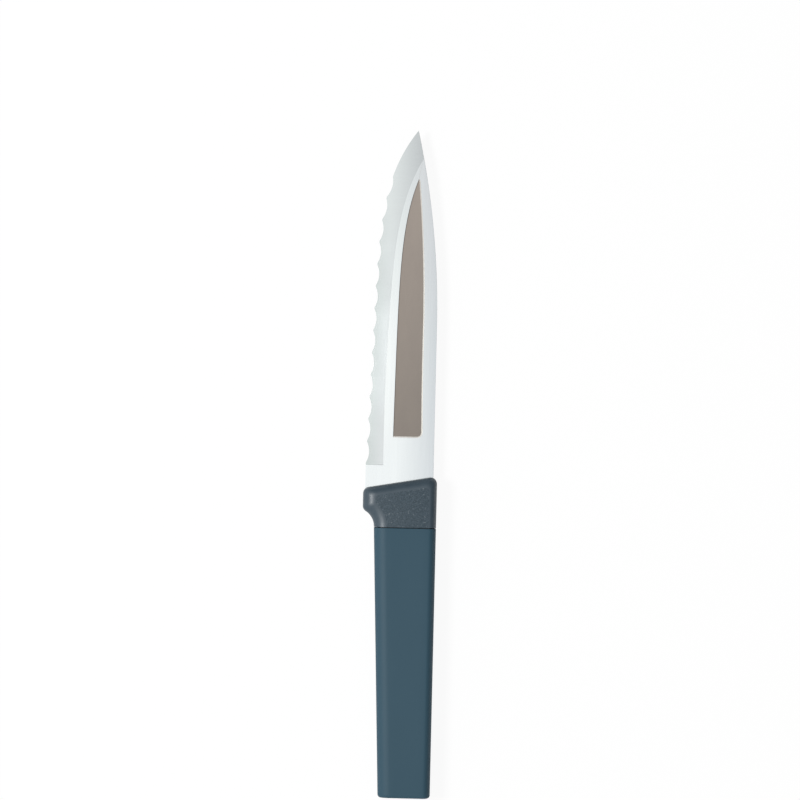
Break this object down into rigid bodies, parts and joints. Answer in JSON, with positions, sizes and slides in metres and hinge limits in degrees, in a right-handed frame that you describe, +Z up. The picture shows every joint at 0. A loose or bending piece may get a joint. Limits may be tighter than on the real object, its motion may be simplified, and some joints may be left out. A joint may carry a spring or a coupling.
{
  "type": "tomato knife",
  "caption": "Serrated tomato knife: scalloped ground blade with a sunk side panel, grained bolster with a finger guard, and a tapered soft-touch grip.",
  "frame": {"origin": "middle of the bounding box, on the surface that the knife lies on", "axes": "+Y along the knife towards the tip, +X towards the spine, +Z up out of the knife's left side as it lies on its right side"},
  "size_m": [0.0266, 0.2408, 0.013],
  "materials": {
    "blade_steel": "satin ground steel with a finely lined bevel and a darker etched panel",
    "bolster_plastic": "fine sparkling mould grain, smooth rounded edges",
    "core_plastic": "plain moulded",
    "grip_soft": "smooth matt soft-touch skin"
  },
  "bodies": {
    "root": {"blade": "blade_steel", "bolster": "bolster_plastic", "core_left": "core_plastic", "core_right": "core_plastic", "grip_sleeve": "grip_soft"}
  },
  "joints": []
}
